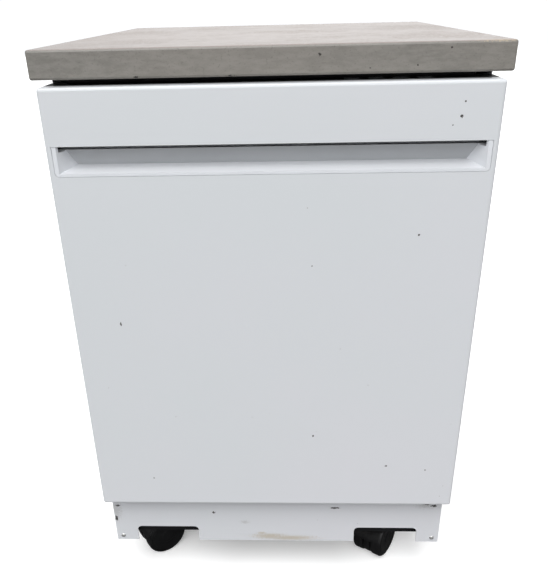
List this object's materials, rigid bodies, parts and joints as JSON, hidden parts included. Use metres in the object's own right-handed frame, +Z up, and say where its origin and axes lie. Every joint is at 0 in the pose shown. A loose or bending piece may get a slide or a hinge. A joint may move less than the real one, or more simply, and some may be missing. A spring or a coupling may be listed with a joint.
{
  "type": "portable dishwasher",
  "caption": "White free-standing portable dishwasher on swivel casters, with a laminate worktop, drop-down door with a full-width pocket handle, pull-out racks and spray arms.",
  "frame": {"origin": "on the floor, under the middle of the whole machine", "axes": "+X to the machine's right as seen from the front, +Y from the door towards the back, +Z up"},
  "size_m": [0.626, 0.7276, 0.938],
  "materials": {
    "white_enamel": "glossy white porcelain enamel, small chips and dust",
    "laminate": "mottled grey-beige high-pressure laminate over particle board",
    "white_plastic": "satin white moulded plastic",
    "black_plastic": "fine-grained black moulded plastic",
    "caster_tread": "black hard rubber, dusty from the floor",
    "grey_plastic": "light grey moulded plastic",
    "button_plastic": "dark grey satin plastic",
    "tub_plastic": "smooth light grey polypropylene",
    "rubber": "soft black seal rubber",
    "steel": "brushed stainless steel",
    "zinc_plate": "zinc-plated sheet steel",
    "rack_vinyl": "blue-grey vinyl-coated wire"
  },
  "bodies": {
    "cabinet": {"worktop": "laminate", "side_panel_left": "white_enamel", "side_panel_right": "white_enamel", "back_panel": "zinc_plate", "top_brace_front": "zinc_plate", "top_brace_rear": "zinc_plate", "base_frame": "zinc_plate", "toe_kick": "white_enamel", "hinge_bracket_left": "zinc_plate", "hinge_bracket_right": "zinc_plate", "tub": "tub_plastic", "tub_gasket": "rubber", "rack_rail_left": "steel", "rack_rail_right": "steel", "sump": "grey_plastic", "filter_cup": "steel", "circulation_pump": "steel", "drain_pump": "black_plastic", "heating_element": "steel", "spray_tube": "grey_plastic", "fill_valve": "white_plastic", "power_gland": "black_plastic", "hose_gland": "black_plastic", "door_strike": "steel"},
    "door": {"door_skin": "white_enamel", "handle_insert": "white_plastic", "inner_door": "tub_plastic", "control_console": "black_plastic", "door_latch": "grey_plastic", "hinge_arm_left": "zinc_plate", "hinge_arm_right": "zinc_plate", "dispenser_body": "grey_plastic"},
    "dispenser_lid": {"dispenser_lid": "tub_plastic"},
    "rinse_cap": {"rinse_cap": "black_plastic"},
    "lower_rack": {"lower_rack": "rack_vinyl", "silverware_basket": "grey_plastic"},
    "upper_rack": {"upper_rack": "rack_vinyl", "feed_tube": "grey_plastic"},
    "middle_spray_arm": {"middle_spray_arm": "grey_plastic"},
    "lower_spray_arm": {"lower_spray_arm": "grey_plastic"},
    "console_button_1": {"console_button_1": "button_plastic"},
    "console_button_2": {"console_button_2": "button_plastic"},
    "console_button_3": {"console_button_3": "button_plastic"},
    "console_button_4": {"console_button_4": "button_plastic"},
    "rack_wheel_front_left": {"rack_wheel_front_left": "grey_plastic"},
    "rack_wheel_front_right": {"rack_wheel_front_right": "grey_plastic"},
    "rack_wheel_rear_left": {"rack_wheel_rear_left": "grey_plastic"},
    "rack_wheel_rear_right": {"rack_wheel_rear_right": "grey_plastic"},
    "caster_swivel_front_left": {"caster_hood_front_left": "black_plastic"},
    "caster_wheel_front_left_left": {"caster_wheel_front_left_left": "caster_tread"},
    "caster_wheel_front_left_right": {"caster_wheel_front_left_right": "caster_tread"},
    "caster_swivel_front_right": {"caster_hood_front_right": "black_plastic"},
    "caster_wheel_front_right_left": {"caster_wheel_front_right_left": "caster_tread"},
    "caster_wheel_front_right_right": {"caster_wheel_front_right_right": "caster_tread"},
    "caster_swivel_rear_left": {"caster_hood_rear_left": "black_plastic"},
    "caster_wheel_rear_left_left": {"caster_wheel_rear_left_left": "caster_tread"},
    "caster_wheel_rear_left_right": {"caster_wheel_rear_left_right": "caster_tread"},
    "caster_swivel_rear_right": {"caster_hood_rear_right": "black_plastic"},
    "caster_wheel_rear_right_left": {"caster_wheel_rear_right_left": "caster_tread"},
    "caster_wheel_rear_right_right": {"caster_wheel_rear_right_right": "caster_tread"}
  },
  "joints": [
    {"name": "door_hinge", "type": "hinge", "parent": "cabinet", "child": "door", "pos_m": [0, -0.34375, 0.212], "axis": [1, 0, 0], "range_deg": [0, 90], "stiffness_Nm_per_rad": 13, "springref_deg": -5.73},
    {"name": "console_button_1_press", "type": "slide", "parent": "door", "child": "console_button_1", "axis": [0, 0, -1], "range_m": [0, 0.0015], "stiffness_N_per_m": 400, "springref_m": -0.001},
    {"name": "console_button_2_press", "type": "slide", "parent": "door", "child": "console_button_2", "axis": [0, 0, -1], "range_m": [0, 0.0015], "stiffness_N_per_m": 400, "springref_m": -0.001},
    {"name": "console_button_3_press", "type": "slide", "parent": "door", "child": "console_button_3", "axis": [0, 0, -1], "range_m": [0, 0.0015], "stiffness_N_per_m": 400, "springref_m": -0.001},
    {"name": "console_button_4_press", "type": "slide", "parent": "door", "child": "console_button_4", "axis": [0, 0, -1], "range_m": [0, 0.0015], "stiffness_N_per_m": 400, "springref_m": -0.001},
    {"name": "dispenser_lid_slide", "type": "slide", "parent": "door", "child": "dispenser_lid", "axis": [-1, 0, 0], "range_m": [0, 0.064]},
    {"name": "rinse_cap_turn", "type": "hinge", "parent": "door", "child": "rinse_cap", "pos_m": [0.064, -0.30395, 0.5015], "axis": [0, 1, 0], "range_deg": [0, 90]},
    {"name": "lower_rack_slide", "type": "slide", "parent": "cabinet", "child": "lower_rack", "axis": [0, -1, 0], "range_m": [0, 0.134]},
    {"name": "upper_rack_slide", "type": "slide", "parent": "cabinet", "child": "upper_rack", "axis": [0, -1, 0], "range_m": [0, 0.44]},
    {"name": "rack_wheel_front_left_roll", "type": "hinge", "parent": "lower_rack", "child": "rack_wheel_front_left", "pos_m": [-0.257, -0.20625, 0.2701], "axis": [1, 0, 0], "continuous": true},
    {"name": "rack_wheel_front_right_roll", "type": "hinge", "parent": "lower_rack", "child": "rack_wheel_front_right", "pos_m": [0.257, -0.20625, 0.2701], "axis": [1, 0, 0], "continuous": true},
    {"name": "rack_wheel_rear_left_roll", "type": "hinge", "parent": "lower_rack", "child": "rack_wheel_rear_left", "pos_m": [-0.257, 0.15375, 0.2701], "axis": [1, 0, 0], "continuous": true},
    {"name": "rack_wheel_rear_right_roll", "type": "hinge", "parent": "lower_rack", "child": "rack_wheel_rear_right", "pos_m": [0.257, 0.15375, 0.2701], "axis": [1, 0, 0], "continuous": true},
    {"name": "lower_spray_arm_spin", "type": "hinge", "parent": "cabinet", "child": "lower_spray_arm", "pos_m": [0, -0.01375, 0.269], "axis": [0, 0, 1], "continuous": true},
    {"name": "middle_spray_arm_spin", "type": "hinge", "parent": "upper_rack", "child": "middle_spray_arm", "pos_m": [0, -0.01375, 0.496], "axis": [0, 0, 1], "continuous": true},
    {"name": "caster_swivel_front_left_turn", "type": "hinge", "parent": "cabinet", "child": "caster_swivel_front_left", "pos_m": [-0.2104, -0.23275, 0.05], "axis": [0, 0, 1], "continuous": true},
    {"name": "caster_wheel_front_left_left_roll", "type": "hinge", "parent": "caster_swivel_front_left", "child": "caster_wheel_front_left_left", "pos_m": [-0.23386, -0.2498, 0.04], "axis": [0.5878, -0.809, 0], "continuous": true},
    {"name": "caster_wheel_front_left_right_roll", "type": "hinge", "parent": "caster_swivel_front_left", "child": "caster_wheel_front_left_right", "pos_m": [-0.23386, -0.2498, 0.04], "axis": [0.5878, -0.809, 0], "continuous": true},
    {"name": "caster_swivel_front_right_turn", "type": "hinge", "parent": "cabinet", "child": "caster_swivel_front_right", "pos_m": [0.2104, -0.23275, 0.05], "axis": [0, 0, 1], "continuous": true},
    {"name": "caster_wheel_front_right_left_roll", "type": "hinge", "parent": "caster_swivel_front_right", "child": "caster_wheel_front_right_left", "pos_m": [0.19461, -0.25707, 0.04], "axis": [0.8387, -0.5446, 0], "continuous": true},
    {"name": "caster_wheel_front_right_right_roll", "type": "hinge", "parent": "caster_swivel_front_right", "child": "caster_wheel_front_right_right", "pos_m": [0.19461, -0.25707, 0.04], "axis": [0.8387, -0.5446, 0], "continuous": true},
    {"name": "caster_swivel_rear_left_turn", "type": "hinge", "parent": "cabinet", "child": "caster_swivel_rear_left", "pos_m": [-0.2104, 0.25075, 0.05], "axis": [0, 0, 1], "continuous": true},
    {"name": "caster_wheel_rear_left_left_roll", "type": "hinge", "parent": "caster_swivel_rear_left", "child": "caster_wheel_rear_left_left", "pos_m": [-0.19678, 0.22515, 0.04], "axis": [0.8829, 0.4695, 0], "continuous": true},
    {"name": "caster_wheel_rear_left_right_roll", "type": "hinge", "parent": "caster_swivel_rear_left", "child": "caster_wheel_rear_left_right", "pos_m": [-0.19678, 0.22515, 0.04], "axis": [0.8829, 0.4695, 0], "continuous": true},
    {"name": "caster_swivel_rear_right_turn", "type": "hinge", "parent": "cabinet", "child": "caster_swivel_rear_right", "pos_m": [0.2104, 0.25075, 0.05], "axis": [0, 0, 1], "continuous": true},
    {"name": "caster_wheel_rear_right_left_roll", "type": "hinge", "parent": "caster_swivel_rear_right", "child": "caster_wheel_rear_right_left", "pos_m": [0.18433, 0.23804, 0.04], "axis": [0.4384, -0.8988, 0], "continuous": true},
    {"name": "caster_wheel_rear_right_right_roll", "type": "hinge", "parent": "caster_swivel_rear_right", "child": "caster_wheel_rear_right_right", "pos_m": [0.18433, 0.23804, 0.04], "axis": [0.4384, -0.8988, 0], "continuous": true}
  ],
  "couplings": [
    {"joint": "lower_rack_slide", "follows": "door_hinge", "m_per_rad": 0.085},
    {"joint": "upper_rack_slide", "follows": "door_hinge", "m_per_rad": 0.28}
  ]
}
